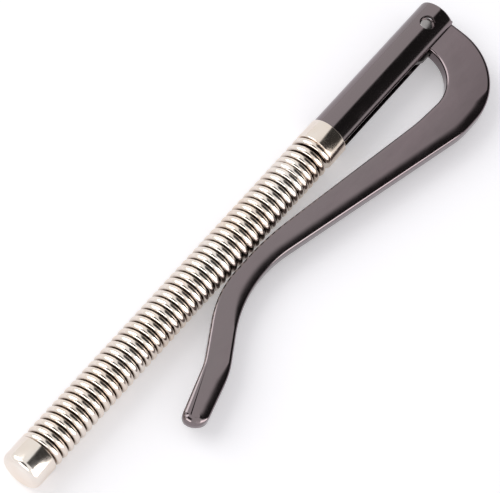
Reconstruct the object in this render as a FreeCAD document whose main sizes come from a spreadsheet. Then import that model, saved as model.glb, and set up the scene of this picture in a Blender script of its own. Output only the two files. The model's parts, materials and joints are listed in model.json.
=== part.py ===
import FreeCAD, Part
import math
import os
import re
import Sketcher
from FreeCAD import Vector

# Spring bar with a hinged money clip arm, for the spine of a folding wallet.
# A slotted head tube carries the arm on a hinge pin. Inside the tube a pull rod hooks on to
# the arm's root, runs through the ferrule and the spring, and ends in the end cap. Opening the
# arm draws the rod and the cap towards the head and squeezes the spring, which shuts it again.
# In each piece's own coordinates the origin is on the bar's axis at the head end, the tail of
# the bar lies towards -X, the arm towards -Y, and the hinge axis along Z.

# Driving dimensions in millimetres and degrees, with counts where the name says so.
SIZES = (
    # the bar, from head to tail
    ("bar_dia", 5.5),
    ("head_len", 22.9),
    ("ferrule_len", 3.05),
    ("coil_span", 53.2),
    ("cap_len", 3.55),
    # slotted head tube
    ("tube_dia", 5.2),
    ("tube_wall", 0.6),
    ("tube_grip", 2.0),
    ("lip_play", 0.1),
    ("lip_bevel", 0.18),
    ("head_bevel", 0.25),
    # hinge pin and the link pin beside it
    ("pin_from_head", 2.9),
    ("hinge_dia", 1.9),
    ("hinge_play", 0.05),
    ("hinge_recess", 0.25),
    ("link_arm", 1.85),
    ("link_dia", 0.9),
    ("link_play", 0.04),
    ("link_float", 0.09),
    ("link_recess", 0.12),
    ("half_swing", 22.5),
    # clip arm: plate, root and fork
    ("arm_thick", 2.2),
    ("arm_bevel", 0.3),
    ("boss_rad", 1.5),
    ("root_width", 4.95),
    ("root_depth", 1.9),
    ("root_rad", 0.5),
    ("fork_gap", 0.9),
    ("fork_reach", 0.95),
    # clip arm: outer edge, as distances from the head end and from the bar's axis
    ("arm_reach", 12.6),
    ("bend_out_rad", 8.6),
    ("crown_from_head", 7.9),
    ("crown_lift", 0.289),
    ("crown_rad", 5.0),
    ("hollow_from_head", 14.6),
    ("hollow_drop", 1.92),
    ("hollow_rad", 20.0),
    ("elbow_out_from_head", 46.2),
    ("elbow_out_off", 4.72),
    ("elbow_out_rad", 13.5),
    ("hip_out_from_head", 57.2),
    ("hip_out_off", 11.25),
    ("hip_out_rad", 12.0),
    ("tip_out_from_head", 64.3),
    ("tip_out_off", 12.3),
    ("tip_in_from_head", 65.0),
    ("tip_in_off", 10.2),
    ("tip_rad", 1.1),
    # clip arm: inner edge
    ("hip_in_from_head", 57.2),
    ("hip_in_off", 7.42),
    ("hip_in_rad", 8.0),
    ("nip_gap", 0.15),
    ("nip_tail_from_head", 49.2),
    ("nip_tail_rad", 14.0),
    ("nip_head_from_head", 39.6),
    ("nip_head_rad", 40.0),
    ("shoulder_from_head", 14.2),
    ("shoulder_off", 7.42),
    ("shoulder_rad", 25.0),
    ("bend_in_off", 7.95),
    ("bend_in_rad", 5.2),
    # pull rod with its flattened tongue and eye
    ("rod_dia", 2.0),
    ("rod_play", 0.05),
    ("rod_neck", 9.4),
    ("tongue_thick", 0.7),
    ("tongue_wide", 1.5),
    ("tongue_len", 2.8),
    ("tongue_rise", 2.4),
    ("eye_rad", 0.7),
    # guide bush and end cap
    ("bush_len", 4.0),
    ("spigot_dia", 3.0),
    ("spigot_len", 1.2),
    ("cap_floor", 1.0),
    ("cap_bevel", 0.6),
    # spring
    ("spring_wire", 0.62),
    ("spring_turns", 22),
    ("spring_leg_rad", 0.65),
)
NAMES = tuple(name for name, size in SIZES)

# Lengths along the bar that several pieces share.
BAR_LEN = "(head_len + ferrule_len + coil_span + cap_len)"
SPRING_HEAD = "(head_len + ferrule_len)"
SPRING_TAIL = "(head_len + ferrule_len + coil_span)"
TUBE_BORE_RAD = "(tube_dia / 2 - tube_wall)"
GUIDE_RAD = "(rod_dia / 2 + rod_play)"
# The link pin stands half the swing short of square to the bar when the arm is shut.
LINK_X = "(-pin_from_head - link_arm * sin(half_swing))"
LINK_Y = "(-link_arm * cos(half_swing))"
# The eye keeps to the middle of the link pin's path across the bar.
EYE_Y = "(-link_arm * (1 + cos(half_swing)) / 2)"

doc = FreeCAD.newDocument("MoneyClipBar")
sheet = doc.addObject("Spreadsheet::Sheet", "Sizes")
for row, (name, size) in enumerate(SIZES, start=1):
    sheet.set(f"A{row}", name)
    sheet.set(f"B{row}", str(size))
    sheet.setAlias(f"B{row}", name)
doc.recompute()


def cells(text):
    """The same expression with each size's name pointing at its cell of the sheet."""
    return re.sub(r"[a-z_]+", lambda m: f"Sizes.{m[0]}" if m[0] in NAMES else m[0], text)


def value(text):
    """What an expression of the sizes comes to now."""
    return float(sheet.evalExpression(cells(text)))


def add_body(label):
    """A new piece, placed so that the whole object stands centred over the origin."""
    body = doc.addObject("PartDesign::Body", label)
    body.Label = label
    place(body)
    return body


def place(piece):
    piece.setExpression("Placement.Base.x", cells(BAR_LEN + " / 2"))
    piece.setExpression("Placement.Base.y", cells("(arm_reach - bar_dia / 2) / 2"))
    piece.setExpression("Placement.Base.z", cells("bar_dia / 2"))


def add_sketch(body, name, plane):
    sketch = body.newObject("Sketcher::SketchObject", name)
    support = [part for part in body.Origin.OriginFeatures if part.Role == plane][0]
    sketch.AttachmentSupport = [(support, "")]
    sketch.MapMode = "FlatFace"
    return sketch


def dimension(sketch, kind, where, text):
    """A dimension of the sketch, bound to an expression of the sizes."""
    index = sketch.addConstraint(Sketcher.Constraint(kind, *where, value(text)))
    sketch.setExpression(f"Constraints[{index}]", cells(text))


def from_origin(sketch, geometry, point, x_text, y_text):
    dimension(sketch, "DistanceX", (-1, 1, geometry, point), x_text)
    dimension(sketch, "DistanceY", (-1, 1, geometry, point), y_text)


def add_circle(sketch, x_text, y_text, radius_text):
    centre = Vector(value(x_text), value(y_text), 0)
    circle = sketch.addGeometry(Part.Circle(centre, Vector(0, 0, 1), value(radius_text)), False)
    dimension(sketch, "Radius", (circle,), radius_text)
    from_origin(sketch, circle, 3, x_text, y_text)


def add_polygon(sketch, corners):
    """Straight runs through corners, each given by two expressions."""
    spots = [Vector(value(x_text), value(y_text), 0) for x_text, y_text in corners]
    count = len(spots)
    for i in range(count):
        sketch.addGeometry(Part.LineSegment(spots[i], spots[(i + 1) % count]), False)
    for i, (x_text, y_text) in enumerate(corners):
        sketch.addConstraint(Sketcher.Constraint("Coincident", (i - 1) % count, 2, i, 1))
        from_origin(sketch, i, 1, x_text, y_text)


def add_outline(sketch, corners):
    """A clockwise outline of straight runs with an arc in every corner.

    A corner is a dict: r is its arc's radius, x and y place its sharp point, and cx and cy
    place its arc's centre instead. Each is an expression, and two of the four are given.
    """
    spots = corner_points(corners)
    count = len(spots)
    arcs = [corner_arc(spots[i - 1], spots[i], spots[(i + 1) % count], value(corners[i]["r"]))
            for i in range(count)]
    for i in range(count):
        sketch.addGeometry(arcs[i]["shape"], False)
        sketch.addGeometry(Part.LineSegment(arcs[i]["end"], arcs[(i + 1) % count]["start"]), False)
    for spot in spots:
        sketch.addGeometry(Part.Point(spot), True)
    for i, corner in enumerate(corners):
        arc, after, before, sharp = 2 * i, 2 * i + 1, (2 * i - 1) % (2 * count), 2 * count + i
        first, last = (1, 2) if arcs[i]["left"] else (2, 1)
        sketch.addConstraint(Sketcher.Constraint("Tangent", arc, first, before, 2))
        sketch.addConstraint(Sketcher.Constraint("Tangent", arc, last, after, 1))
        sketch.addConstraint(Sketcher.Constraint("PointOnObject", sharp, 1, before))
        sketch.addConstraint(Sketcher.Constraint("PointOnObject", sharp, 1, after))
        dimension(sketch, "Radius", (arc,), corner["r"])
        for key, kind, target in (("x", "DistanceX", (sharp, 1)), ("y", "DistanceY", (sharp, 1)),
                                  ("cx", "DistanceX", (arc, 3)), ("cy", "DistanceY", (arc, 3))):
            if key in corner:
                dimension(sketch, kind, (-1, 1, *target), corner[key])


def corner_points(corners):
    """The sharp points, with those given by a centre found from the tangents to their arcs."""
    spots = [None] * len(corners)
    for i, corner in enumerate(corners):
        if "x" in corner and "y" in corner:
            spots[i] = Vector(value(corner["x"]), value(corner["y"]), 0)
    for i, corner in enumerate(corners):
        if spots[i] is None:
            radius = value(corner["r"])
            centre_x = value(corner["cx"]) if "cx" in corner else value(corner["x"]) - radius
            centre = Vector(centre_x, value(corner["cy"]), 0)
            spots[i] = tangent_meeting(spots[i - 1], spots[(i + 1) % len(spots)], centre, radius)
    return spots


def tangent_meeting(start, finish, centre, radius):
    """Where the tangents from two points meet, with the circle on the right of the way."""
    out, back = centre - start, centre - finish
    angle = math.atan2(out.y, out.x) + math.asin(radius / out.Length)
    other = math.atan2(back.y, back.x) - math.asin(radius / back.Length)
    way = Vector(math.cos(angle), math.sin(angle), 0)
    way_back = Vector(math.cos(other), math.sin(other), 0)
    reach = (finish - start).cross(way_back).z / way.cross(way_back).z
    return start + way * reach


def corner_arc(before, sharp, after, radius):
    """The arc that rounds a sharp point, with its two ends in the order of travel."""
    way_in = (sharp - before).normalize()
    way_out = (after - sharp).normalize()
    turn = way_in.cross(way_out).z
    cut = radius * math.tan(way_in.getAngle(way_out) / 2)
    start = sharp - way_in * cut
    end = sharp + way_out * cut
    side = 1 if turn > 0 else -1
    centre = start + Vector(-way_in.y, way_in.x, 0) * (side * radius)
    angles = [math.atan2(p.y - centre.y, p.x - centre.x) for p in (start, end)]
    if turn < 0:
        angles.reverse()
    circle = Part.Circle(centre, Vector(0, 0, 1), radius)
    shape = Part.ArcOfCircle(circle, *angles)
    return {"shape": shape, "start": start, "end": end, "left": turn > 0}


def add_pad(body, sketch, name, length, both_ways=True, reverse=False):
    pad = body.newObject("PartDesign::Pad", name)
    pad.Profile = sketch
    pad.SideType = "Symmetric" if both_ways else "One side"
    pad.Reversed = reverse
    pad.setExpression("Length", cells(length))
    doc.recompute()
    return pad


def add_pocket(body, sketch, name, depth):
    """A cut through the piece, half of its depth on each side of the sketch."""
    pocket = body.newObject("PartDesign::Pocket", name)
    pocket.Profile = sketch
    pocket.SideType = "Symmetric"
    pocket.setExpression("Length", cells(depth))
    before = body.Shape.Volume
    doc.recompute()
    if body.Shape.Volume > before - 1e-6:
        raise ValueError(f"{name} cuts nothing")


def add_turned(body, name, corners, axis="H_Axis", plane="XY_Plane"):
    """A turned piece: a profile of corners swept once round an axis of its sketch."""
    sketch = add_sketch(body, name + "Profile", plane)
    add_polygon(sketch, corners)
    turned = body.newObject("PartDesign::Revolution", name)
    turned.Profile = sketch
    turned.ReferenceAxis = (sketch, [axis])
    doc.recompute()
    return turned


def add_edge_work(body, name, chosen, text):
    """A bevel on the edges of the piece that the test picks."""
    base = body.Tip
    edges = [f"Edge{i}" for i, edge in enumerate(base.Shape.Edges, start=1) if chosen(edge)]
    bevel = body.newObject("PartDesign::Chamfer", name)
    bevel.Base = (base, edges)
    bevel.setExpression("Size", cells(text))
    doc.recompute()


def at_x(text):
    """Picks the round edges that lie square to the bar at a place along it."""
    spot = value(text)
    return lambda edge: edge.BoundBox.XLength < 1e-6 and abs(edge.BoundBox.XMin - spot) < 1e-6


def outermost(text, test):
    """Picks edges that pass the test and lie at a radius from the bar's axis."""
    radius = value(text)
    return lambda edge: test(edge) and all(
        abs(math.hypot(v.Y, v.Z) - radius) < 1e-6 for v in edge.Vertexes)


def make_head_tube():
    body = add_body("head_tube")
    sketch = add_sketch(body, "TubeSection", "YZ_Plane")
    slot = "(arm_thick / 2 + lip_play)"
    radii = ("tube_dia / 2", TUBE_BORE_RAD)
    turns = [math.asin(value(slot) / value(radius)) for radius in radii]
    for radius, turn in zip(radii, turns):
        circle = Part.Circle(Vector(0, 0, 0), Vector(0, 0, 1), value(radius))
        sketch.addGeometry(Part.ArcOfCircle(circle, turn - math.pi, math.pi - turn), False)
    outer, inner = (sketch.Geometry[i] for i in (0, 1))
    sketch.addGeometry(Part.LineSegment(outer.StartPoint, inner.StartPoint), False)
    sketch.addGeometry(Part.LineSegment(outer.EndPoint, inner.EndPoint), False)
    for arc, radius in enumerate(radii):
        sketch.addConstraint(Sketcher.Constraint("Coincident", arc, 3, -1, 1))
        dimension(sketch, "Radius", (arc,), radius)
        for end in (1, 2):
            sketch.addConstraint(Sketcher.Constraint("Coincident", arc, end, end + 1, arc + 1))
    dimension(sketch, "DistanceY", (-1, 1, 0, 2), slot)
    dimension(sketch, "DistanceY", (-1, 1, 1, 2), slot)
    dimension(sketch, "DistanceY", (0, 1, -1, 1), slot)
    dimension(sketch, "DistanceY", (1, 1, -1, 1), slot)
    add_pad(body, sketch, "Tube", "head_len + tube_grip", both_ways=False, reverse=True)
    lips = outermost("tube_dia / 2", lambda edge: edge.BoundBox.XLength > value("head_len"))
    add_edge_work(body, "RolledLips", lips, "lip_bevel")
    hole = add_sketch(body, "PinHole", "XY_Plane")
    add_circle(hole, "-pin_from_head", "0", "hinge_dia / 2")
    add_pocket(body, hole, "PinHoles", "tube_dia * 2")
    rim = outermost("tube_dia / 2", lambda edge: at_x("0")(edge) and edge.Length > value("tube_dia"))
    add_edge_work(body, "HeadRim", rim, "head_bevel")


def make_clip_arm():
    body = add_body("clip_arm")
    sketch = add_sketch(body, "ArmOutline", "XY_Plane")
    nip = "-(bar_dia / 2 + nip_gap)"
    add_outline(sketch, [
        {"x": "0", "y": "-root_depth", "r": "root_rad"},
        {"x": "0", "cy": "bend_out_rad - arm_reach", "r": "bend_out_rad"},
        {"x": "-crown_from_head", "y": "-(arm_reach + crown_lift)", "r": "crown_rad"},
        {"x": "-hollow_from_head", "y": "hollow_drop - arm_reach", "r": "hollow_rad"},
        {"x": "-elbow_out_from_head", "y": "-elbow_out_off", "r": "elbow_out_rad"},
        {"x": "-hip_out_from_head", "y": "-hip_out_off", "r": "hip_out_rad"},
        {"x": "-tip_out_from_head", "y": "-tip_out_off", "r": "tip_rad"},
        {"x": "-tip_in_from_head", "y": "-tip_in_off", "r": "tip_rad"},
        {"x": "-hip_in_from_head", "y": "-hip_in_off", "r": "hip_in_rad"},
        {"x": "-nip_tail_from_head", "y": nip, "r": "nip_tail_rad"},
        {"x": "-nip_head_from_head", "y": nip, "r": "nip_head_rad"},
        {"x": "-shoulder_from_head", "y": "-shoulder_off", "r": "shoulder_rad"},
        {"x": "-root_width", "y": "-bend_in_off", "r": "bend_in_rad"},
        {"x": "-root_width", "y": "-root_depth", "r": "root_rad"},
        {"cx": "-pin_from_head", "cy": "0", "r": "boss_rad"},
    ])
    add_pad(body, sketch, "Plate", "arm_thick")
    half = value("arm_thick / 2")
    faces = lambda edge: edge.BoundBox.ZLength < 1e-6 and abs(abs(edge.BoundBox.ZMin) - half) < 1e-6
    add_edge_work(body, "PolishedEdges", faces, "arm_bevel")
    holes = add_sketch(body, "RootHoles", "XY_Plane")
    add_circle(holes, "-pin_from_head", "0", "hinge_dia / 2 + hinge_play")
    add_circle(holes, LINK_X, LINK_Y, "link_dia / 2")
    add_pocket(body, holes, "PinBores", "arm_thick * 2")
    fork = add_sketch(body, "ForkOutline", "XY_Plane")
    inside = LINK_X + " + fork_reach"
    tail = "-(root_width + root_depth)"
    add_polygon(fork, [(inside, "boss_rad + root_rad"), (inside, LINK_Y + " - fork_reach"),
                       (tail, LINK_Y + " - fork_reach"), (tail, "boss_rad + root_rad")])
    add_pocket(body, fork, "Fork", "fork_gap")


def make_hinge_pin():
    body = add_body("hinge_pin")
    end = "(tube_dia / 2 - hinge_recess)"
    add_pin(body, "HingePin", "-pin_from_head", "0", "hinge_dia / 2", end)


def add_pin(body, name, x_text, y_text, radius, end):
    """A plain pin that stands square through the arm's plane."""
    sketch = add_sketch(body, name + "Section", "XY_Plane")
    add_circle(sketch, x_text, y_text, radius)
    add_pad(body, sketch, name, end + " * 2")


def make_link_pin():
    body = add_body("link_pin")
    add_pin(body, "LinkPin", LINK_X, LINK_Y, "link_dia / 2", "(arm_thick / 2 - link_recess)")


def make_pull_rod():
    body = add_body("pull_rod")
    tail = f"cap_floor - {BAR_LEN}"
    add_turned(body, "Rod", [(tail, "0"), ("-rod_neck", "0"), ("-rod_neck", "rod_dia / 2"),
                             (tail, "rod_dia / 2")])
    sketch = add_sketch(body, "TongueOutline", "XY_Plane")
    front = LINK_X + " + tongue_wide / 2"
    top, low = (f"{EYE_Y} {sign} tongue_wide / 2" for sign in "+-")
    knee = LINK_X + " - tongue_len"
    rise = knee + " - tongue_rise"
    root = "-(rod_neck + rod_dia)"
    add_outline(sketch, [
        {"x": front, "y": top, "r": "eye_rad"},
        {"x": front, "y": low, "r": "eye_rad"},
        {"x": knee, "y": low, "r": "eye_rad"},
        {"x": rise, "y": "-rod_dia / 2", "r": "eye_rad"},
        {"x": root, "y": "-rod_dia / 2", "r": "link_play"},
        {"x": root, "y": "rod_dia / 2", "r": "link_play"},
        {"x": rise, "y": "rod_dia / 2", "r": "eye_rad"},
        {"x": knee, "y": top, "r": "eye_rad"},
    ])
    add_pad(body, sketch, "Tongue", "tongue_thick")
    eye = add_sketch(body, "EyeOutline", "XY_Plane")
    across = "link_dia / 2 + link_play"
    along = across + " + link_float"
    right, left = (f"{LINK_X} {sign} ({across})" for sign in "+-")
    up, down = (f"{EYE_Y} {sign} ({along})" for sign in "+-")
    add_outline(eye, [{"x": x, "y": y, "r": "link_dia / 2"}
                      for x, y in ((right, up), (right, down), (left, down), (left, up))])
    add_pocket(body, eye, "Eye", "tongue_thick * 2")


def make_guide_bush():
    body = add_body("guide_bush")
    seat = "-(head_len + tube_grip)"
    nose = seat + " + bush_len"
    add_turned(body, "Bush", [(seat, GUIDE_RAD), (nose, GUIDE_RAD), (nose, TUBE_BORE_RAD),
                              (seat, TUBE_BORE_RAD)])


def make_ferrule():
    body = add_body("ferrule")
    web = "-(head_len + tube_grip)"
    tail = "-" + SPRING_HEAD
    add_turned(body, "Collar", [
        (tail, GUIDE_RAD), (web, GUIDE_RAD), (web, "tube_dia / 2"), ("-head_len", "tube_dia / 2"),
        ("-head_len", "bar_dia / 2"), (tail, "bar_dia / 2")])


def make_end_cap():
    body = add_body("end_cap")
    tail = "-" + BAR_LEN
    face = "-" + SPRING_TAIL
    nose = face + " + spigot_len"
    floor = tail + " + cap_floor"
    add_turned(body, "Cap", [
        (tail, "0"), (floor, "0"), (floor, "rod_dia / 2"), (nose, "rod_dia / 2"),
        (nose, "spigot_dia / 2"), (face, "spigot_dia / 2"), (face, "bar_dia / 2"),
        (tail, "bar_dia / 2")])
    add_edge_work(body, "BevelledEnd", outermost("bar_dia / 2", at_x(tail)), "cap_bevel")


def arc_between(start, corner, end):
    """The round arc that touches both legs of an equal-legged corner."""
    middle = (start + end) / 2
    sine = (start - middle).Length / (start - corner).Length
    return Part.Arc(start, corner + (middle - corner) / (1 + sine), end).toShape()


def biarc(start, way_in, end, way_out):
    """Two arcs that join two points, each along its own direction of travel."""
    gap = end - start
    both = way_in + way_out
    slack = 2 * (1 - way_in.dot(way_out))
    leg = (math.sqrt(gap.dot(both) ** 2 + slack * gap.dot(gap)) - gap.dot(both)) / slack
    first, last = start + way_in * leg, end - way_out * leg
    joint = (first + last) / 2
    return [arc_between(start, first, joint), arc_between(joint, last, end)]


def spring_path():
    """Centre line of the spring: straight legs square to the ferrule and the cap, and between
    them a helix whose place along the bar grows evenly with the angle turned."""
    wire, turns = value("spring_wire"), round(value("spring_turns"))
    bend = value("spring_leg_rad")
    radius = value("bar_dia / 2") - wire / 2
    head, tail = -value(SPRING_HEAD), -value(SPRING_TAIL)
    first, last = head - wire - bend, tail + wire + bend
    pitch = (first - last) / turns
    quarters = turns * 4
    slope = pitch / (2 * math.pi * radius)
    spots, ways = [], []
    for step in range(quarters + 1):
        angle = math.pi / 4 + step * math.pi / 2
        spots.append(Vector(first - pitch * step / 4, radius * math.cos(angle),
                            -radius * math.sin(angle)))
        ways.append(Vector(-slope, -math.sin(angle), -math.cos(angle)).normalize())
    tail_way = Vector(-1, 0, 0)
    edges = []
    for step in range(quarters):
        edges += biarc(spots[step], ways[step], spots[step + 1], ways[step + 1])
    ends = []
    for spot, way, seat in ((spots[0], -ways[0], head), (spots[-1], ways[-1], tail)):
        along = -tail_way if seat == head else tail_way
        leg = bend * math.tan(way.getAngle(along) / 2)
        corner = spot + way * leg
        far = corner + along * leg
        ends.append((spot, corner, far, Vector(seat, far.y, far.z)))
    spot, corner, far, seat = ends[0]
    edges.insert(0, arc_between(far, corner, spot))
    edges.insert(0, Part.LineSegment(seat, far).toShape())
    spot, corner, far, seat = ends[1]
    edges.append(arc_between(spot, corner, far))
    edges.append(Part.LineSegment(far, seat).toShape())
    return Part.Wire(edges), pitch


def make_coil_spring():
    """The spring, one unbroken wire from the ferrule to the end cap."""
    path, pitch = spring_path()
    wire = value("spring_wire")
    start = path.Edges[0].Vertexes[0].Point
    sides = 6
    ring = [start + Vector(0, math.cos(a), math.sin(a)) * (wire / 2)
            for a in (2 * math.pi * k / sides for k in range(sides))]
    profile = Part.makePolygon(ring + ring[:1])
    solid = path.makePipeShell([profile], True, False)
    spring = doc.addObject("Part::Feature", "coil_spring")
    spring.Label = "coil_spring"
    spring.Shape = solid
    place(spring)
    section = Part.Face(profile).Area
    print("spring volume over section times length:", solid.Volume / (section * path.Length))
    print("least gap of the spring to itself:", spring_gap(path, pitch) - wire)


def spring_gap(path, pitch):
    """Least distance between points of the centre line that lie over half a turn apart."""
    step = pitch / 4
    points = path.discretize(Distance=step)
    turn = math.pi * value("bar_dia")
    skip = int(turn / 2 / step)
    reach = int(turn * 1.5 / step)
    return min(points[i].distanceToPoint(points[j])
               for i in range(len(points)) for j in range(i + skip, min(i + reach, len(points))))


def write_pieces():
    """Checks every object and writes each piece to a file named after it."""
    doc.recompute()
    for item in doc.Objects:
        if "Invalid" in item.State or "Error" in item.State:
            raise ValueError(f"{item.Label} is {item.State}")
    pieces = [item for item in doc.Objects
              if item.TypeId == "PartDesign::Body" or item.Name == "coil_spring"]
    for piece in pieces:
        if piece.Shape.isNull() or not piece.Shape.isValid() or len(piece.Shape.Solids) != 1:
            raise ValueError(f"{piece.Label} has no sound solid")
    os.makedirs("parts", exist_ok=True)
    for piece in pieces:
        piece.Shape.exportStep(os.path.join("parts", piece.Label + ".step"))
        box = piece.Shape.BoundBox
        print(piece.Label, "volume", round(piece.Shape.Volume, 3), "box",
              [round(edge, 3) for edge in (box.XMin, box.XMax, box.YMin, box.YMax, box.ZMin,
                                           box.ZMax)])


make_head_tube()
make_clip_arm()
make_hinge_pin()
make_link_pin()
make_pull_rod()
make_guide_bush()
make_ferrule()
make_end_cap()
make_coil_spring()
write_pieces()
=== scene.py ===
import json
import math

import bpy
import numpy as np
from mathutils import Matrix, Vector

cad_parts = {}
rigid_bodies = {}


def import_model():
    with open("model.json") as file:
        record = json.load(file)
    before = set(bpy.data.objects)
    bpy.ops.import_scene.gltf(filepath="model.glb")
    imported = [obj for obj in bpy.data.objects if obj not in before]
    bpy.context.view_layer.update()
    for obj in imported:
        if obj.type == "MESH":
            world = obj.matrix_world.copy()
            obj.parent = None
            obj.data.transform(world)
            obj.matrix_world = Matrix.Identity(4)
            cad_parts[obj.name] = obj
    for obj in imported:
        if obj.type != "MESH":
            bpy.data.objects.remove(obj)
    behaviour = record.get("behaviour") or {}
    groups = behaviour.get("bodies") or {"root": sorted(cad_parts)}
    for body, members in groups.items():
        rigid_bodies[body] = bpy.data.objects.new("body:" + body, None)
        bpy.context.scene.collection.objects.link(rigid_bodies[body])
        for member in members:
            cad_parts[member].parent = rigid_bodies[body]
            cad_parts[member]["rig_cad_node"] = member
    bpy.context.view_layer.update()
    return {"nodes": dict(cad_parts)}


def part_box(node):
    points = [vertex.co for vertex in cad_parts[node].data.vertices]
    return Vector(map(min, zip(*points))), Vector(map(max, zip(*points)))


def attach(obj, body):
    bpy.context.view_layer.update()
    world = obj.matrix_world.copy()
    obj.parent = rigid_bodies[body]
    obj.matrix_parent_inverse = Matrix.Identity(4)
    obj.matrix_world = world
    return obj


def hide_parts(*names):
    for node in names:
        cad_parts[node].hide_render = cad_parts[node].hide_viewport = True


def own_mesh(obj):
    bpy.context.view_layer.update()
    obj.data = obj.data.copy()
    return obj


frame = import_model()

bl_info = {
    "name": "Wallet clip bar",
    "version": (1, 0, 0),
    "blender": (4, 5, 0),
    "location": "3D View > Sidebar > Clip bar",
    "description": "Dresses a spring-loaded money clip bar with polished surfaces and finishes",
    "category": "Object",
}

MM = 0.001
TAIL_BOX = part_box("end_cap")
HEAD_X = float(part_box("head_tube")[1][0])
AXIS_Y = float(TAIL_BOX[0][1] + TAIL_BOX[1][1]) / 2
AXIS_Z = float(TAIL_BOX[0][2] + TAIL_BOX[1][2]) / 2

# Arm's outline in millimetres
ARM_REACH = 12.6
CROWN_RAD = 8.6
PIN_FROM_HEAD = 2.9

# Each corner is its distance from the head end, its distance from the bar's axis towards the arm,
# and its radius. They run clockwise as seen from above, from the root's corner at the head end.
# A corner without a distance lies where the lines to its neighbours touch the arc of ARC_CENTRES.
ARM_CORNERS = (
    (0.0, 1.9, 0.5),
    (0.0, None, CROWN_RAD),
    (11.4, ARM_REACH, 12.0),
    (45.8, 4.55, 18.0),
    (56.5, 10.8, 12.0),
    (64.95, 13.1, 1.9),
    (64.75, 9.85, 1.1),
    (57.4, 7.55, 8.0),
    (49.2, 2.9, 14.0),
    (39.6, 2.9, 40.0),
    (14.2, 7.3, 25.0),
    (4.95, 7.95, 5.2),
    (4.95, 1.9, 0.5),
    (PIN_FROM_HEAD, None, 1.5),
)
ARC_CENTRES = {1: (CROWN_RAD, ARM_REACH - CROWN_RAD), 13: (PIN_FROM_HEAD, 0.0)}

# Finest steps of the outline's arcs: least number, most radians and most millimetres in each
OUTLINE_STEPS = 5
OUTLINE_TURN = 0.06
OUTLINE_RUN = 0.35

# Where the arm's edge turns into the tip's rounder one, in millimetres, and the outline's facing
TIP_START = 60.5
TIP_RUN = 2.0
TIP_GAIN = 1.3

# Facing at which the soft roll sets in, how fast it does, and the share that other edges keep
ROLL_FACING = 0.88
ROLL_GAIN = 11.0
EDGE_SHARE = 0.12

# Arm's holes and fork, in millimetres, and half of its swing in degrees
HINGE_HOLE_RAD = 1.0
LINK_ARM = 1.85
LINK_HOLE_RAD = 0.46
HALF_SWING = 22.5
FORK_ROOM = 0.95
FORK_END = 7.25
FORK_SIDE = -2.0
FORK_HALF = 0.45

# Ferrule, end cap and hinge pin, in millimetres
FERRULE_RIM = 0.14
ROD_HOLE_RAD = 1.05
CAP_RIM = 0.1
CAP_BORE_RAD = 1.0
CAP_END_WALL = 1.0
SPIGOT_RAD = 1.5
SPIGOT_LEN = 1.2
PIN_DOME = 0.16

# Shares of the cap's flat end that hold a ring, and of a round dome that the pin's end takes up
CAP_FLAT_SHARE = 0.9
DOME_SHARE = 0.96

# Spring: steps a turn, sides of the wire, first angle in degrees, and share of the wire's radius
# that is ground off
COIL_STEPS = 56
WIRE_SIDES = 18
COIL_START = 205.0
COIL_SEAT = 0.32

# The spring's looser turns behind the ferrule, and their most shift as a share of its length
LOOSE_TURNS = 5.0
LOOSE_SHIFT = 0.006

# Steps of the head tube's arcs, rounded corners and length, and of turned pieces
ARC_STEPS = 130
CORNER_STEPS = 8
TUBE_ROWS = 84
TUBE_ROW_START = 0.5
TURNED_SIDES = 160
POST_SIDES = 64

# Meshes: edges sharper than this are drawn sharp, points this close are one, in metres
SHARP_ANGLE = math.radians(35.0)
LEAST_GAP = 1e-7

# Painted shade between the spring's turns, darker towards the bar's axis: its tone, and the distances
# from the bar's axis that it fades between, in millimetres
GROOVE_SHADE_TONE = (0.2, 0.145, 0.115)
GROOVE_FLOOR = 2.3
GROOVE_CREST = 2.7

# Each metal is its material's name, roughness, tint in its clouds, grain a metre, bump, and the
# stretch of the grain along x, y and z, where a small number draws it out.
METALS = {
    "dark_nickel": ("polished_dark_nickel", 0.13, (1.10, 1.02, 1.06), 900.0, 0.10, (0.35, 1.0, 1.0)),
    "bright_nickel": ("polished_bright_nickel", 0.15, (0.95, 0.88, 0.82), 1200.0, 0.08, (1.0, 1.0, 1.0)),
    "pin_steel": ("bright_pin_steel", 0.2, (0.94, 0.94, 0.96), 2500.0, 0.12, (1.0, 1.0, 0.2)),
    "rod_steel": ("drawn_rod_steel", 0.28, (0.9, 0.9, 0.9), 1800.0, 0.2, (0.08, 1.0, 1.0)),
    "bush_brass": ("turned_bush_brass", 0.24, (0.92, 0.9, 0.85), 1800.0, 0.2, (1.0, 0.2, 0.2)),
}
CLOUD_SCALE = 0.12
BUMP_DEPTH = 0.02

# Floor's half width in metres, its glow, and the world's strength as a light
FLOOR_REACH = 3.0
FLOOR_GLOW = 0.27
WORLD_LIGHT = 0.6

# Each studio card is its name, its span round the object and its span in height, both in degrees,
# its distance in metres, its glow and the width of its soft rim in degrees.
CARDS = (
    ("dark_card", (-80.0, 16.0), (5.0, 90.0), 0.5, 0.035, 8.0),
    ("tip_card", (130.0, 205.0), (38.0, 72.0), 0.5, 0.05, 8.0),
    ("edge_strip", (-130.0, -68.0), (3.0, 44.0), 0.48, 4.0, 2.0),
    ("tip_strip", (-205.0, -160.0), (12.0, 34.0), 0.48, 4.0, 3.0),
)
CARD_STEPS = 60

# Camera: lens and sensor in millimetres, place and clipping in metres, and its right and up
CAMERA_LENS = 236.7
CAMERA_SENSOR = 36.0
CAMERA_PLACE = (-0.16621, -0.060225, 0.36055)
CAMERA_CLIP = (0.01, 50.0)
CAMERA_RIGHT = (0.6124, -0.7766, 0.1475)
CAMERA_UP = (0.6722, 0.6098, 0.4197)


def length(name, description, default):
    """A length in metres that the user can set, with its default in millimetres."""
    return bpy.props.FloatProperty(
        name=name, description=description, default=default * MM, min=0.0, unit="LENGTH", precision=5
    )


def colour(name, description, default):
    """A colour that the user can set."""
    return bpy.props.FloatVectorProperty(
        name=name, description=description, default=default, size=3, min=0.0, max=1.0, subtype="COLOR"
    )


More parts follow.
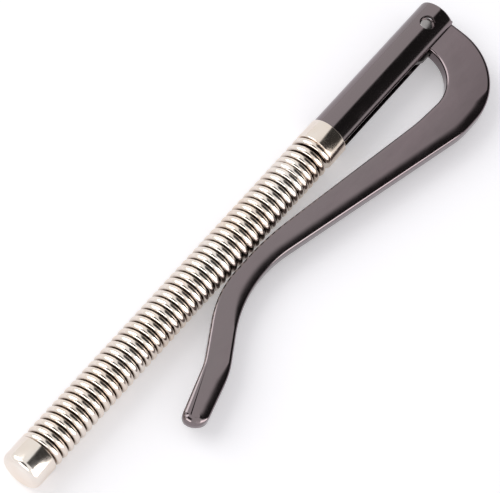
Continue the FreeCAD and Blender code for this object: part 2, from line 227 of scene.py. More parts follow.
class ClipBarSizes(bpy.types.PropertyGroup):
    """Sizes of the surfaces that dress the bar and the arm."""

    bar_dia: length("Bar diameter", "Outside of the ferrule, the spring and the end cap", 5.5)
    tube_dia: length("Tube diameter", "Outside of the slotted head tube", 5.2)
    tube_wall: length("Tube wall", "Thickness of the head tube's sheet", 0.6)
    tube_len: length("Tube length", "Length of the head tube, with its end in the ferrule", 24.9)
    slot_width: length("Slot width", "Opening between the head tube's lips", 2.4)
    lip_round: length("Lip rounding", "Radius of the lips' outer edges", 0.2)
    rim_round: length("Rim rounding", "Radius at the head tube's open end", 0.28)
    ferrule_start: length("Ferrule start", "From the head end to the ferrule", 22.9)
    ferrule_len: length("Ferrule length", "Length of the ferrule", 3.05)
    coil_len: length("Spring length", "Length of the spring at rest", 53.2)
    wire_dia: length("Spring wire", "Diameter of the spring's wire", 1.04)
    coil_turns: bpy.props.FloatProperty(
        name="Spring turns", description="Turns of the spring", default=47.6, min=4.0
    )
    cap_len: length("Cap length", "Length of the end cap", 3.55)
    cap_round: length("Cap rounding", "Radius of the end cap's outer edge", 0.75)
    arm_thick: length("Arm thickness", "Thickness of the clip arm's plate", 2.2)
    arm_round: length("Arm edge", "Radius of the clip arm's polished edges", 0.36)
    roll_width: length("Roll width", "Width of the soft roll along the clip arm's outer edge", 1.15)
    roll_drop: length("Roll drop", "How far the soft roll sinks before the edge", 0.08)
    tip_round: length("Arm tip", "Radius of the edges round the clip arm's tip", 0.95)
    pin_dia: length("Hinge pin", "Diameter of the hinge pin", 1.84)
    hole_dia: length("Pin hole", "Diameter of the holes that show the hinge pin", 2.0)
    pin_recess: length("Pin recess", "From the tube's crown down to the pin's end", 0.45)


class ClipBarFinishes(bpy.types.PropertyGroup):
    """Colours of the clip bar's finishes and of the floor."""

    dark_nickel: colour("Dark nickel", "Head tube and clip arm", (0.2, 0.172, 0.176))
    bright_nickel: colour("Bright nickel", "Spring, ferrule and end cap", (0.80, 0.745, 0.69))
    pin_steel: colour("Pin steel", "Hinge pin and link pin", (0.34, 0.325, 0.32))
    rod_steel: colour("Rod steel", "Pull rod", (0.16, 0.15, 0.145))
    bush_brass: colour("Bush brass", "Guide bush", (0.62, 0.47, 0.24))
    floor: colour("Floor", "Floor under the clip bar", (0.93, 0.925, 0.935))


def bar_place(u, across, up):
    """Points from distances in metres: u back from the head end, across towards the arm and up,
    both from the bar's axis."""
    u, across, up = np.broadcast_arrays(u, across, up)
    return np.stack((HEAD_X - u, AXIS_Y - across, AXIS_Z + up), axis=-1)


def strip_quads(rows, columns, closed_columns, closed_rows=False):
    """The quads of a grid of rows and columns, which may close on itself either way."""
    i = np.arange(rows if closed_rows else rows - 1)
    j = np.arange(columns if closed_columns else columns - 1)
    i, j = (axis.ravel() for axis in np.meshgrid(i, j, indexing="ij"))
    here, below = i * columns, (i + 1) % rows * columns
    beside = (j + 1) % columns
    return np.stack((here + j, here + beside, below + beside, below + j), 1)


def welded(points, quads):
    """The same quads on points that are merged where they meet."""
    keys = np.round(points / LEAST_GAP).astype(np.int64)
    _, first, where = np.unique(keys, axis=0, return_index=True, return_inverse=True)
    return points[first], where.reshape(-1)[quads]


def enclosed(points, faces):
    """Six times the signed volume that faces enclose, each taken as a fan from its first corner."""
    total = 0.0
    for step in range(faces.shape[1] - 2):
        a, b, c = points[faces[:, 0]], points[faces[:, step + 1]], points[faces[:, step + 2]]
        total += float(np.einsum("ij,ij->", a, np.cross(b, c)))
    return total


def smooth(mesh):
    """Shades a mesh smooth but for its sharp edges."""
    mesh.shade_smooth()
    mesh.set_sharp_from_angle(angle=SHARP_ANGLE)


def new_piece(name, points, quads, rings=()):
    """A smooth mesh piece with its place in its mesh and its faces outwards. Rings are flat
    many-cornered faces, and where a quad's corners were merged at a pole, it becomes a triangle."""
    centre = points.mean(axis=0)
    groups = [quads] + [ring.reshape(1, -1) for ring in rings]
    if sum(enclosed(points - centre, group) for group in groups) < 0:
        groups = [group[:, ::-1] for group in groups]
    faces = [list(dict.fromkeys(face)) for group in groups for face in group.tolist()]
    mesh = bpy.data.meshes.new(name)
    mesh.from_pydata(points.tolist(), [], [face for face in faces if len(face) > 2])
    mesh.validate()
    smooth(mesh)
    piece = bpy.data.objects.new(name, mesh)
    bpy.context.scene.collection.objects.link(piece)
    return piece


def cut_by(piece, *cutters):
    """Cuts closed shapes out of a piece for good, and drops the shapes."""
    for cutter in cutters:
        cut = piece.modifiers.new("cut", "BOOLEAN")
        cut.operation = "DIFFERENCE"
        cut.solver = "EXACT"
        cut.object = cutter
    bpy.context.view_layer.update()
    depsgraph = bpy.context.evaluated_depsgraph_get()
    mesh = bpy.data.meshes.new_from_object(piece.evaluated_get(depsgraph))
    piece.modifiers.clear()
    old = piece.data
    piece.data = mesh
    mesh.name = piece.name
    bpy.data.meshes.remove(old)
    for cutter in cutters:
        bpy.data.objects.remove(cutter)
    if not mesh.polygons:
        raise RuntimeError(f"{piece.name} was cut away")
    smooth(mesh)


def turned(name, profile):
    """A turned piece. The profile is a row of (distance from the head end, radius), closed on
    itself, and each of its points goes once round the bar's axis."""
    profile = np.asarray(profile, float)
    angle = np.linspace(0.0, 2 * math.pi, TURNED_SIDES, endpoint=False)
    u, radius = profile[:, :1], profile[:, 1:]
    points = bar_place(u, radius * np.cos(angle), radius * np.sin(angle)).reshape(-1, 3)
    quads = strip_quads(len(profile), TURNED_SIDES, True, True)
    return new_piece(name, *welded(points, quads))


def upright_post(name, u, across, profile):
    """A post turned round an upright line. The profile is a row of (height from the bar's axis,
    radius) that starts and ends on the line."""
    profile = np.asarray(profile, float)
    angle = np.linspace(0.0, 2 * math.pi, POST_SIDES, endpoint=False)
    up, radius = profile[:, :1], profile[:, 1:]
    points = bar_place(u + radius * np.cos(angle), across + radius * np.sin(angle), up)
    quads = strip_quads(len(profile), POST_SIDES, True)
    return new_piece(name, *welded(points.reshape(-1, 3), quads))


def quarter(centre_a, centre_b, radius, start, steps):
    """Points along a quarter circle in a profile's plane, from an angle in degrees, in the
    direction of falling angle."""
    angle = np.radians(start - np.linspace(0.0, 90.0, steps))
    return np.stack((centre_a + radius * np.cos(angle), centre_b + radius * np.sin(angle)), 1)


def tangent_corner(start, finish, centre, radius):
    """Where the lines from two points that touch the same circle meet, beyond the circle. Each
    line turns from the way to the centre by the angle whose sine is radius over distance."""
    out, back = centre - start, centre - finish
    angle = math.atan2(out[1], out[0]) + math.asin(radius / np.hypot(*out))
    other = math.atan2(back[1], back[0]) - math.asin(radius / np.hypot(*back))
    way = np.array((math.cos(angle), math.sin(angle)))
    way_back = np.array((math.cos(other), math.sin(other)))
    reach = np.cross(finish - start, way_back) / np.cross(way, way_back)
    return start + way * reach


def arm_outline():
    """The arm's outline and its outward directions, in millimetres: straight runs between
    corners, and in each corner an arc of its radius that touches both runs."""
    corners = [None if across is None else np.array((u, across)) for u, across, _ in ARM_CORNERS]
    for i, centre in ARC_CENTRES.items():
        before, after = corners[i - 1], corners[(i + 1) % len(corners)]
        corners[i] = tangent_corner(before, after, np.array(centre), ARM_CORNERS[i][2])
    spots, normals = [], []
    for i, (_, _, radius) in enumerate(ARM_CORNERS):
        before, here, after = corners[i - 1], corners[i], corners[(i + 1) % len(corners)]
        way_in, way_out = here - before, after - here
        way_in, way_out = way_in / np.hypot(*way_in), way_out / np.hypot(*way_out)
        turn = math.atan2(np.cross(way_in, way_out), way_in @ way_out)
        by_turn, by_run = abs(turn) / OUTLINE_TURN, abs(turn) * radius / OUTLINE_RUN
        steps = max(OUTLINE_STEPS, int(by_turn), int(by_run))
        start = here - way_in * (radius * math.tan(abs(turn) / 2))
        side = math.copysign(1.0, turn)
        centre = start + side * radius * np.array((-way_in[1], way_in[0]))
        first = math.atan2(start[1] - centre[1], start[0] - centre[0])
        angle = first + np.linspace(0.0, turn, steps)
        way = np.stack((np.cos(angle), np.sin(angle)), 1)
        spots.append(centre + radius * way)
        normals.append(-side * way)
    return np.concatenate(spots), np.concatenate(normals)


def clip_arm_surface(sizes):
    """The arm's plate: its outline is carried down from the upper face to the lower one. Each face
    sinks by d s^2 as the share s grows from 0 to 1 over the last width w before the edge, which
    is the soft roll that polishing leaves. There the edge turns down on an arc: as its angle a
    falls to 0, it lies r (1 - cos a) inside the outline and r (cos e - sin a) below the roll's
    end, with e the roll's slope there. Both w and d are the roll's on the side away from the
    bar and a small share of it elsewhere, and r is larger at the tip's end."""
    spots, normals = arm_outline()
    spots = spots * MM
    gap = np.hypot(*(np.roll(spots, -1, axis=0) - spots).T)
    spots, normals = spots[gap > LEAST_GAP], normals[gap > LEAST_GAP]
    past = np.clip((spots[:, 0] - TIP_START * MM) / (TIP_RUN * MM), 0.0, 1.0)
    end = past * np.clip(normals[:, 0] * TIP_GAIN, 0.0, 1.0)
    radius = sizes.arm_round + (sizes.tip_round - sizes.arm_round) * end * end * (3 - 2 * end)
    away = np.clip((normals[:, 1] - ROLL_FACING) * ROLL_GAIN, 0.0, 1.0) * (1.0 - end)
    width = sizes.roll_width * (EDGE_SHARE + (1 - EDGE_SHARE) * away)
    drop = sizes.roll_drop * (EDGE_SHARE + (1 - EDGE_SHARE) * away)
    half = sizes.arm_thick / 2 - drop
    slope = np.arctan(2 * drop / width)
    angle = np.pi / 2 - slope - np.linspace(0.0, 1.0, 10)[:, None] * (np.pi / 2 - slope)
    share = np.linspace(0.0, 1.0, 9)[:-1, None]
    first = radius * (1 - np.cos(np.pi / 2 - slope))
    arc_level = half - radius * (np.cos(slope) - np.sin(angle))
    inset = np.concatenate((first + width * (1 - share), radius * (1 - np.cos(angle))))
    level = np.concatenate((half + drop * (1 - share**2), arc_level))
    inset = np.concatenate((inset, inset[::-1]))
    level = np.concatenate((level, -level[::-1]))
    u = spots[:, 0] - inset * normals[:, 0]
    across = spots[:, 1] - inset * normals[:, 1]
    rows, columns = inset.shape
    points = bar_place(u, across, level).reshape(-1, 3)
    top = np.arange(columns)[::-1]
    bottom = np.arange(columns) + (rows - 1) * columns
    return new_piece("arm_plate", points, strip_quads(rows, columns, True), (top, bottom))


def lip_profile(sizes):
    """The head tube's section: an outer arc, a lip with its outer corner rounded, the inner arc
    back and the other lip. Each rounded corner is the curve (1-t)^2 a + 2t(1-t) b + t^2 c, with
    b at the sharp corner and a and c the lip's rounding away from it."""
    outer, inner = sizes.tube_dia / 2, sizes.tube_dia / 2 - sizes.tube_wall
    half, cut = sizes.slot_width / 2, sizes.lip_round
    first, last = math.asin(half / outer), math.asin(half / inner)
    angle = np.linspace(first + cut / outer, 2 * math.pi - first - cut / outer, ARC_STEPS)
    arc = np.stack((np.cos(angle), np.sin(angle)), 1) * outer
    t = np.linspace(0.0, 1.0, CORNER_STEPS)[1:, None]
    sharp = np.array((math.cos(first), -math.sin(first))) * outer
    along = np.array((-1.0, 0.0)) * cut
    corner = (1 - t) ** 2 * arc[-1] + 2 * t * (1 - t) * sharp + t**2 * (sharp + along)
    back = np.linspace(2 * math.pi - last, last, ARC_STEPS)
    bore = np.stack((np.cos(back), np.sin(back)), 1) * inner
    mirrored = (corner * (1, -1))[::-1]
    return np.concatenate((arc, corner, bore, mirrored))


def head_tube_surface(sizes):
    """The slotted tube: its section is carried along the bar, and near the open end its points
    lie r (1 - cos a) from the end and r (1 - sin a) inside the sheet's surface, for a from 0 to
    a right angle. Each end is closed by quads across the sheet and by one face at each lip."""
    section = lip_profile(sizes)
    way = np.roll(section, -1, axis=0) - np.roll(section, 1, axis=0)
    normal = np.stack((way[:, 1], -way[:, 0]), 1) / np.hypot(*way.T)[:, None]
    rim = sizes.rim_round
    angle = np.radians(np.linspace(0.0, 90.0, CORNER_STEPS))
    plain = np.linspace(TUBE_ROW_START * MM, sizes.tube_len, TUBE_ROWS)
    u = np.concatenate((rim * (1 - np.cos(angle)), plain))[:, None]
    inset = np.concatenate((rim * (1 - np.sin(angle)), np.zeros(TUBE_ROWS)))[:, None]
    across = section[:, 0] - inset * normal[:, 0]
    up = section[:, 1] - inset * normal[:, 1]
    points = bar_place(u, across, up).reshape(-1, 3)
    rows, columns = len(u), len(section)
    out = np.arange(ARC_STEPS - 1)
    back = columns - (columns - 2 * ARC_STEPS) // 2 - 1 - out
    face = np.stack((out, back, back - 1, out + 1), 1)
    lips = (np.arange(ARC_STEPS - 1, back[-1]), np.append(np.arange(back[0], columns), 0))
    last = (rows - 1) * columns
    quads = np.concatenate((strip_quads(rows, columns, True), face, face[:, ::-1] + last))
    rings = [lip[::-1] for lip in lips] + [lip + last for lip in lips]
    return new_piece("slotted_tube", points, quads, rings)


def coil_surface(sizes):
    """The spring: a circle of the wire's radius carried along a right-handed helix, whose place
    along the bar grows evenly with the angle turned. Half a sine wave is added over its first
    turns behind the ferrule, which opens them a little. Both ends are ground flat: points that
    would pass an end face are moved onto it."""
    turns, wire = sizes.coil_turns, sizes.wire_dia / 2
    ring = sizes.bar_dia / 2 - wire
    start = sizes.ferrule_start + sizes.ferrule_len
    end = start + sizes.coil_len
    steps = int(turns * COIL_STEPS)
    share = np.linspace(0.0, 1.0, steps)
    wave = np.sin(np.pi * np.clip(share * turns / LOOSE_TURNS, 0.0, 1.0))
    seat = COIL_SEAT * wire
    along = start + seat + (end - start - 2 * seat) * (share + LOOSE_SHIFT * wave)
    angle = 2 * math.pi * turns * share + math.radians(COIL_START)
    rise = np.gradient(along, angle)
    outward = np.stack((np.zeros_like(angle), np.cos(angle), np.sin(angle)), 1)
    forward = np.stack((rise, -ring * np.sin(angle), ring * np.cos(angle)), 1)
    forward /= np.linalg.norm(forward, axis=1)[:, None]
    sideways = np.cross(forward, outward)
    side = np.linspace(0.0, 2 * math.pi, WIRE_SIDES, endpoint=False)[None, :, None]
    line = np.stack((along, ring * np.cos(angle), ring * np.sin(angle)), 1)
    circle = np.cos(side) * outward[:, None] + np.sin(side) * sideways[:, None]
    spots = line[:, None] + wire * circle
    spots[..., 0] = np.clip(spots[..., 0], start, end)
    points = bar_place(spots[..., 0], -spots[..., 1], -spots[..., 2]).reshape(-1, 3)
    first = np.arange(WIRE_SIDES)[::-1]
    last = np.arange(WIRE_SIDES) + (steps - 1) * WIRE_SIDES
    return new_piece("spring_coil", points, strip_quads(steps, WIRE_SIDES, True), (first, last))


def box_cutter(u_span, across_span, up_span):
    """A plain block, only used to cut."""
    u, across, up = np.meshgrid(u_span, across_span, up_span, indexing="ij")
    points = bar_place(u.ravel(), across.ravel(), up.ravel())
    ends = ((0, 1, 3, 2), (4, 6, 7, 5))
    sides = ((0, 4, 5, 1), (2, 3, 7, 6), (0, 2, 6, 4), (1, 5, 7, 3))
    return new_piece("block", points, np.array(ends + sides))


def drill(u, across, radius, half):
    """A plain upright cylinder, only used to cut, that reaches as far up as down."""
    profile = ((-half, 0.0), (-half, radius), (half, radius), (half, 0.0))
    return upright_post("drill", u, across, profile)


def add_node(tree, kind, inputs=None, **settings):
    """A new node with its settings, and with values on its inputs by their names or numbers."""
    node = tree.nodes.new(kind)
    for key, value in settings.items():
        setattr(node, key, value)
    for key, value in (inputs or {}).items():
        node.inputs[key].default_value = value
    return node


def link(tree, source, target):
    """Joins one node's output to another's input."""
    tree.links.new(source, target)


def metal(finishes, finish):
    """A polished or drawn metal of METALS. Two noises on the piece's own coordinates mix the
    colour with its tint and vary the roughness a little, the finer one also lifts the surface,
    and the stretch draws them out along the way the piece was polished or drawn."""
    name, roughness, tint, grain, bump, stretch = METALS[finish]
    base = getattr(finishes, finish)
    material = bpy.data.materials.new(name)
    material.use_nodes = True
    tree = material.node_tree
    shader = tree.nodes["Principled BSDF"]
    shader.inputs["Metallic"].default_value = 1.0
    shader.inputs["Specular IOR Level"].default_value = 0.5
    place = add_node(tree, "ShaderNodeTexCoord")
    drawn = add_node(tree, "ShaderNodeMapping", {"Scale": stretch})
    link(tree, place.outputs["Object"], drawn.inputs["Vector"])
    cloud = add_node(tree, "ShaderNodeTexNoise", {"Scale": grain * CLOUD_SCALE, "Detail": 3.0})
    fine = add_node(tree, "ShaderNodeTexNoise", {"Scale": grain, "Detail": 5.0, "Roughness": 0.6})
    for noise in (cloud, fine):
        link(tree, drawn.outputs["Vector"], noise.inputs["Vector"])
    ramp = add_node(tree, "ShaderNodeValToRGB")
    plain, tinted = ramp.color_ramp.elements
    plain.position, tinted.position = 0.35, 0.68
    plain.color = (*base, 1.0)
    tinted.color = (*[b * t for b, t in zip(base, tint)], 1.0)
    link(tree, cloud.outputs["Fac"], ramp.inputs["Fac"])
    link(tree, ramp.outputs["Color"], shader.inputs["Base Color"])
    levels = {"From Min": 0.3, "From Max": 0.7, "To Min": roughness * 0.75, "To Max": roughness * 1.3}
    spread = add_node(tree, "ShaderNodeMapRange", levels)
    link(tree, fine.outputs["Fac"], spread.inputs["Value"])
    link(tree, spread.outputs["Result"], shader.inputs["Roughness"])
    lift = add_node(tree, "ShaderNodeBump", {"Strength": bump, "Distance": BUMP_DEPTH * MM})
    link(tree, fine.outputs["Fac"], lift.inputs["Height"])
    link(tree, lift.outputs["Normal"], shader.inputs["Normal"])
    return material


def groove_painted_shade(material):
    """Paints shade into the spring's metal in the grooves between its turns: the colour is multiplied by
    a dark tone that fades to white with the distance from the bar's axis, from floor to crest."""
    tree = material.node_tree
    base = tree.nodes["Principled BSDF"].inputs["Base Color"]
    plain = base.links[0].from_socket
    white = (1.0, 1.0, 1.0, 1.0)
    depths = {"From Min": GROOVE_FLOOR * MM, "From Max": GROOVE_CREST * MM}
    place = add_node(tree, "ShaderNodeTexCoord")
    centred = add_node(tree, "ShaderNodeVectorMath", {1: (0.0, AXIS_Y, AXIS_Z)}, operation="SUBTRACT")
    across = add_node(tree, "ShaderNodeVectorMath", {1: (0.0, 1.0, 1.0)}, operation="MULTIPLY")
    reach = add_node(tree, "ShaderNodeVectorMath", operation="LENGTH")
    fade = add_node(tree, "ShaderNodeMapRange", depths, interpolation_type="SMOOTHSTEP")
    tint = add_node(tree, "ShaderNodeMix", data_type="RGBA")
    # painted shade: the dark tone at the groove floor
    tint.inputs["A"].default_value = (*GROOVE_SHADE_TONE, 1.0)
    tint.inputs["B"].default_value = white
    product = add_node(tree, "ShaderNodeMix", data_type="RGBA", blend_type="MULTIPLY")
    product.inputs["Factor"].default_value = 1.0
    link(tree, place.outputs["Object"], centred.inputs[0])
    link(tree, centred.outputs["Vector"], across.inputs[0])
    link(tree, across.outputs["Vector"], reach.inputs[0])
    link(tree, reach.outputs["Value"], fade.inputs["Value"])
    link(tree, fade.outputs["Result"], tint.inputs["Factor"])
    link(tree, plain, product.inputs["A"])
    link(tree, tint.outputs["Result"], product.inputs["B"])
    link(tree, product.outputs["Result"], base)
    return material


def dress(piece, material):
    """Gives a piece, new or from the frame, one material in every slot."""
    if "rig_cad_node" not in piece:
        piece.data.materials.clear()
    if not piece.data.materials:
        piece.data.materials.append(material)
    for slot in piece.material_slots:
        slot.material = material


class CLIPBAR_OT_head_tube(bpy.types.Operator):
    """Makes the slotted head tube with its rolled lips and its pin holes"""

    bl_idname = "clipbar.head_tube"
    bl_label = "Head tube"

    def execute(self, context):
        sizes, finishes = context.scene.clip_sizes, context.scene.clip_finishes
        tube = head_tube_surface(sizes)
        cut_by(tube, drill(PIN_FROM_HEAD * MM, 0.0, sizes.hole_dia / 2, sizes.tube_dia))
        dress(tube, metal(finishes, "dark_nickel"))
        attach(tube, "bar")
        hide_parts("head_tube")
        return {"FINISHED"}


class CLIPBAR_OT_clip_arm(bpy.types.Operator):
    """Makes the S-curved clip arm with its polished edges, pin holes and fork"""

    bl_idname = "clipbar.clip_arm"
    bl_label = "Clip arm"

    def execute(self, context):
        sizes, finishes = context.scene.clip_sizes, context.scene.clip_finishes
        arm = clip_arm_surface(sizes)
        swing = math.radians(HALF_SWING)
        link_u = (PIN_FROM_HEAD + LINK_ARM * math.sin(swing)) * MM
        link_across = LINK_ARM * math.cos(swing) * MM
        fork_u = (link_u - FORK_ROOM * MM, FORK_END * MM)
        fork_across = (FORK_SIDE * MM, link_across + FORK_ROOM * MM)
        fork_up = (-FORK_HALF * MM, FORK_HALF * MM)
        hinge_hole = drill(PIN_FROM_HEAD * MM, 0.0, HINGE_HOLE_RAD * MM, sizes.arm_thick)
        link_hole = drill(link_u, link_across, LINK_HOLE_RAD * MM, sizes.arm_thick)
        cut_by(arm, hinge_hole, link_hole, box_cutter(fork_u, fork_across, fork_up))
        dress(arm, metal(finishes, "dark_nickel"))
        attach(arm, "arm")
        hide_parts("clip_arm")
        return {"FINISHED"}


class CLIPBAR_OT_ferrule(bpy.types.Operator):
    """Makes the ferrule that joins the head tube to the spring"""

    bl_idname = "clipbar.ferrule"
    bl_label = "Ferrule"

    def execute(self, context):
        sizes, finishes = context.scene.clip_sizes, context.scene.clip_finishes
        start, end = sizes.ferrule_start, sizes.ferrule_start + sizes.ferrule_len
        outer, bore = sizes.bar_dia / 2, sizes.tube_dia / 2
        rod, rim = ROD_HOLE_RAD * MM, FERRULE_RIM * MM
        profile = [(start, bore)]
        profile += list(quarter(start + rim, outer - rim, rim, start=180.0, steps=5))
        profile += list(quarter(end - rim, outer - rim, rim, start=90.0, steps=5))
        profile += [(end, rod), (sizes.tube_len, rod), (sizes.tube_len, bore)]
        ferrule = turned("ferrule_collar", profile)
        dress(ferrule, metal(finishes, "bright_nickel"))
        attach(ferrule, "bar")
        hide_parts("ferrule")
        return {"FINISHED"}


class CLIPBAR_OT_end_cap(bpy.types.Operator):
    """Makes the end cap with its rounded edge, spigot and bore"""

    bl_idname = "clipbar.end_cap"
    bl_label = "End cap"

    def execute(self, context):
        sizes, finishes = context.scene.clip_sizes, context.scene.clip_finishes
        face = sizes.ferrule_start + sizes.ferrule_len + sizes.coil_len
        tail = face + sizes.cap_len
        outer, edge, rim = sizes.bar_dia / 2, sizes.cap_round, CAP_RIM * MM
        spigot, bore = SPIGOT_RAD * MM, CAP_BORE_RAD * MM
        nose, floor = face - SPIGOT_LEN * MM, tail - CAP_END_WALL * MM
        profile = [(floor, 0.0), (floor, bore), (nose, bore), (nose, spigot), (face, spigot)]
        profile += list(quarter(face + rim, outer - rim, rim, start=180.0, steps=5))
        profile += list(quarter(tail - edge, outer - edge, edge, start=90.0, steps=14))
        profile += [(tail, CAP_FLAT_SHARE * (outer - edge)), (tail, 0.0)]
        cap = turned("round_cap", profile)
        dress(cap, metal(finishes, "bright_nickel"))
        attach(cap, "rod")
        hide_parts("end_cap")
        return {"FINISHED"}


class CLIPBAR_OT_spring(bpy.types.Operator):
    """Makes the close-wound spring at rest; in the real bar it shortens towards the ferrule as the arm
    opens
    """

    bl_idname = "clipbar.spring"
    bl_label = "Spring"

    def execute(self, context):
        sizes, finishes = context.scene.clip_sizes, context.scene.clip_finishes
        coil = coil_surface(sizes)
        # the spring's metal gets painted shade, darker in the grooves between its turns
        dress(coil, groove_painted_shade(metal(finishes, "bright_nickel")))
        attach(coil, "bar")
        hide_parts("coil_spring")
        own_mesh(coil)
        return {"FINISHED"}


class CLIPBAR_OT_pins(bpy.types.Operator):
    """Makes the hinge pin and finishes the link pin, the pull rod and the guide bush"""

    bl_idname = "clipbar.pins"
    bl_label = "Pins and rod"

    def execute(self, context):
        sizes, finishes = context.scene.clip_sizes, context.scene.clip_finishes
        radius, end = sizes.pin_dia / 2, sizes.tube_dia / 2 - sizes.pin_recess
        share = np.linspace(0.0, 1.0, 10)
        sunk = PIN_DOME * MM * (1 - np.sqrt(1 - share**2 * DOME_SHARE))
        crown = np.stack((end - sunk, radius * share), 1)
        under = (crown * (-1, 1))[::-1]
        profile = np.concatenate((crown, under))
        pin = upright_post("hinge_pin_post", PIN_FROM_HEAD * MM, 0.0, profile)
        steel = metal(finishes, "pin_steel")
        dress(pin, steel)
        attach(pin, "bar")
        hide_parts("hinge_pin")
        dress(frame["nodes"]["link_pin"], steel)
        dress(frame["nodes"]["pull_rod"], metal(finishes, "rod_steel"))
        dress(frame["nodes"]["guide_bush"], metal(finishes, "bush_brass"))
        return {"FINISHED"}


def new_sheet(name, points, quads, material):
    """A sheet of the stage, with its material."""
    mesh = bpy.data.meshes.new(name)
    mesh.from_pydata(points, [], quads)
    mesh.materials.append(material)
    sheet = bpy.data.objects.new(name, mesh)
    bpy.context.scene.collection.objects.link(sheet)
    return sheet


def bare_material(name):
    """A new material, its node tree, and its output, the only node in it."""
    material = bpy.data.materials.new(name)
    material.use_nodes = True
    tree = material.node_tree
    tree.nodes.clear()
    return material, tree, add_node(tree, "ShaderNodeOutputMaterial")


def floor_material(paint):
    """Pale matt floor that keeps the shadow, and glows a little for the camera, in reflections
    and through glass, so that it reads as white."""
    material, tree, out = bare_material("pale_floor")
    matt = add_node(tree, "ShaderNodeBsdfDiffuse", {"Color": (*paint, 1.0)})
    lift = add_node(tree, "ShaderNodeEmission", {"Color": (1.0, 1.0, 1.0, 1.0)})
    both = add_node(tree, "ShaderNodeAddShader")
    path = add_node(tree, "ShaderNodeLightPath")
    shown = path.outputs["Is Camera Ray"]
    for kind in ("Is Glossy Ray", "Is Transmission Ray"):
        either = add_node(tree, "ShaderNodeMath", operation="MAXIMUM")
        link(tree, shown, either.inputs[0])
        link(tree, path.outputs[kind], either.inputs[1])
        shown = either.outputs["Value"]
    seen = add_node(tree, "ShaderNodeMath", {1: FLOOR_GLOW}, operation="MULTIPLY")
    link(tree, shown, seen.inputs[0])
    link(tree, seen.outputs["Value"], lift.inputs["Strength"])
    link(tree, matt.outputs["BSDF"], both.inputs[0])
    link(tree, lift.outputs["Emission"], both.inputs[1])
    link(tree, both.outputs["Shader"], out.inputs["Surface"])
    return material


def card_material(name, glow, soft):
    """A studio card's even glow. It fades to clear over the soft width at its rim, by the
    attribute that holds each point's distance from the rim."""
    material, tree, out = bare_material(name)
    shine = add_node(tree, "ShaderNodeEmission", {"Color": (1.0, 0.985, 0.975, 1.0), "Strength": glow})
    clear = add_node(tree, "ShaderNodeBsdfTransparent")
    mix = add_node(tree, "ShaderNodeMixShader")
    rim = add_node(tree, "ShaderNodeAttribute", attribute_name="rim")
    span = {"From Min": 0.0, "From Max": soft}
    fade = add_node(tree, "ShaderNodeMapRange", span, interpolation_type="SMOOTHSTEP")
    link(tree, rim.outputs["Fac"], fade.inputs["Value"])
    link(tree, fade.outputs["Result"], mix.inputs["Fac"])
    link(tree, clear.outputs["BSDF"], mix.inputs[1])
    link(tree, shine.outputs["Emission"], mix.inputs[2])
    link(tree, mix.outputs["Shader"], out.inputs["Surface"])
    return material


def card(name, turn_span, rise_span, distance, glow, soft):
    """A curved studio card on a sphere round the object, seen only in reflections. A point at the
    turn a and the rise b lies at distance times (cos b cos a, cos b sin a, sin b), and keeps
    its distance from the nearest rim in degrees, with a turn's degrees shortened by cos b."""
    turn = np.linspace(*turn_span, CARD_STEPS)
    rise = np.linspace(*rise_span, CARD_STEPS)
    turn, rise = np.meshgrid(turn, rise, indexing="ij")
    a, b = np.radians(turn), np.radians(rise)
    way = np.stack((np.cos(b) * np.cos(a), np.cos(b) * np.sin(a), np.sin(b)), axis=-1)
    points = (distance * way).reshape(-1, 3).tolist()
    quads = strip_quads(CARD_STEPS, CARD_STEPS, False).tolist()
    aside = np.minimum(turn - turn_span[0], turn_span[1] - turn) * np.cos(b)
    above = np.minimum(rise - rise_span[0], rise_span[1] - rise)
    rim = np.minimum(aside, above)
    sheet = new_sheet(name, points, quads, card_material(name, glow, soft))
    sheet.data.attributes.new("rim", "FLOAT", "POINT").data.foreach_set("value", rim.ravel())
    for ray in ("camera", "diffuse", "transmission", "volume_scatter", "shadow"):
        setattr(sheet, "visible_" + ray, False)


def lamp(name, towards, distance, width, height, watts):
    """A soft rectangular lamp that faces the object from a direction."""
    light = bpy.data.lights.new(name, "AREA")
    light.shape = "RECTANGLE"
    light.size, light.size_y = width, height
    light.energy = watts
    holder = bpy.data.objects.new(name, light)
    towards = Vector(towards).normalized()
    holder.location = towards * distance
    holder.rotation_mode = "QUATERNION"
    holder.rotation_quaternion = (-towards).to_track_quat("-Z", "Y")
    bpy.context.scene.collection.objects.link(holder)


def white_world():
    """White to the camera, in reflections and through glass, and dimmer and a little cool as the
    light from all round."""
    world = bpy.data.worlds.new("studio")
    bpy.context.scene.world = world
    world.use_nodes = True
    tree = world.node_tree
    tree.nodes.clear()
    white = {"Color": (1.0, 1.0, 1.0, 1.0), "Strength": 1.0}
    cool = {"Color": (0.97, 0.96, 1.0, 1.0), "Strength": WORLD_LIGHT}
    out = add_node(tree, "ShaderNodeOutputWorld")
    shown = add_node(tree, "ShaderNodeBackground", white)
    light = add_node(tree, "ShaderNodeBackground", cool)
    path = add_node(tree, "ShaderNodeLightPath")
    mix = add_node(tree, "ShaderNodeMixShader")
    first = add_node(tree, "ShaderNodeMath", operation="ADD", use_clamp=True)
    second = add_node(tree, "ShaderNodeMath", operation="ADD", use_clamp=True)
    link(tree, path.outputs["Is Camera Ray"], first.inputs[0])
    link(tree, path.outputs["Is Glossy Ray"], first.inputs[1])
    link(tree, first.outputs["Value"], second.inputs[0])
    link(tree, path.outputs["Is Transmission Ray"], second.inputs[1])
    link(tree, second.outputs["Value"], mix.inputs["Fac"])
    link(tree, light.outputs["Background"], mix.inputs[1])
    link(tree, shown.outputs["Background"], mix.inputs[2])
    link(tree, mix.outputs["Shader"], out.inputs["Surface"])


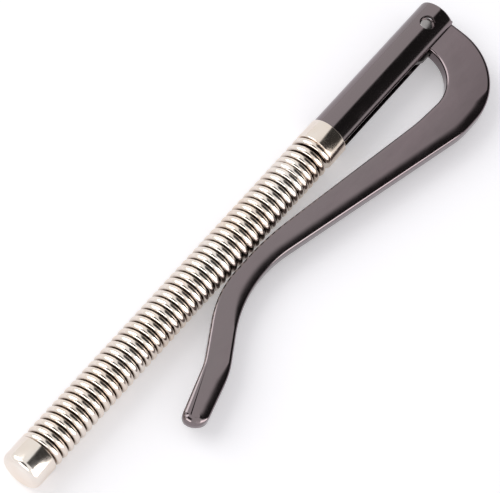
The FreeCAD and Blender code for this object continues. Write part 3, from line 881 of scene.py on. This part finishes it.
def photo_camera(scene):
    """The camera, turned so that its right and up are the ones given above."""
    camera = bpy.data.cameras.new("photo_camera")
    camera.sensor_fit = "HORIZONTAL"
    camera.sensor_width = CAMERA_SENSOR
    camera.lens = CAMERA_LENS
    camera.clip_start, camera.clip_end = CAMERA_CLIP
    holder = bpy.data.objects.new("photo_camera", camera)
    scene.collection.objects.link(holder)
    scene.camera = holder
    right, up = Vector(CAMERA_RIGHT), Vector(CAMERA_UP)
    turn = Matrix((right, up, right.cross(up))).transposed()
    holder.rotation_mode = "QUATERNION"
    holder.rotation_quaternion = turn.to_quaternion()
    holder.location = CAMERA_PLACE


class CLIPBAR_OT_stage(bpy.types.Operator):
    """Sets the floor, the lamp, the studio cards, the world and the camera"""

    bl_idname = "clipbar.stage"
    bl_label = "Stage"

    def execute(self, context):
        scene = context.scene
        scene.view_settings.view_transform = "Standard"
        white_world()
        signs = ((-1, -1), (1, -1), (1, 1), (-1, 1))
        corners = [(x * FLOOR_REACH, y * FLOOR_REACH, 0.0) for x, y in signs]
        new_sheet("floor", corners, [(0, 1, 2, 3)], floor_material(scene.clip_finishes.floor))
        lamp("key_lamp", towards=(-0.25, 0.75, 0.75), distance=0.55, width=0.45, height=0.45, watts=1.3)
        for studio_card in CARDS:
            card(*studio_card)
        photo_camera(scene)
        return {"FINISHED"}


class CLIPBAR_PT_panel(bpy.types.Panel):
    """Lists the clip bar's sizes, finishes and makers"""

    bl_idname = "CLIPBAR_PT_panel"
    bl_label = "Clip bar"
    bl_space_type = "VIEW_3D"
    bl_region_type = "UI"
    bl_category = "Clip bar"

    def draw(self, context):
        layout = self.layout
        for group in (context.scene.clip_sizes, context.scene.clip_finishes):
            box = layout.box()
            for name in group.bl_rna.properties.keys():
                if name not in ("rna_type", "name"):
                    box.prop(group, name)
        for maker in MAKERS:
            layout.operator(maker.bl_idname)


MAKERS = (
    CLIPBAR_OT_head_tube,
    CLIPBAR_OT_clip_arm,
    CLIPBAR_OT_ferrule,
    CLIPBAR_OT_end_cap,
    CLIPBAR_OT_spring,
    CLIPBAR_OT_pins,
    CLIPBAR_OT_stage,
)
CLASSES = (ClipBarSizes, ClipBarFinishes, *MAKERS, CLIPBAR_PT_panel)


def register():
    """Registers the classes and hangs the two groups of properties on the scene."""
    for cls in CLASSES:
        bpy.utils.register_class(cls)
    bpy.types.Scene.clip_sizes = bpy.props.PointerProperty(type=ClipBarSizes)
    bpy.types.Scene.clip_finishes = bpy.props.PointerProperty(type=ClipBarFinishes)


def unregister():
    """Takes the groups and the classes away again."""
    del bpy.types.Scene.clip_finishes
    del bpy.types.Scene.clip_sizes
    for cls in reversed(CLASSES):
        bpy.utils.unregister_class(cls)


def main():
    """Makes every piece and the stage."""
    register()
    for make in (
        bpy.ops.clipbar.head_tube,
        bpy.ops.clipbar.clip_arm,
        bpy.ops.clipbar.ferrule,
        bpy.ops.clipbar.end_cap,
        bpy.ops.clipbar.spring,
        bpy.ops.clipbar.pins,
        bpy.ops.clipbar.stage,
    ):
        make()


if __name__ == "__main__":
    main()
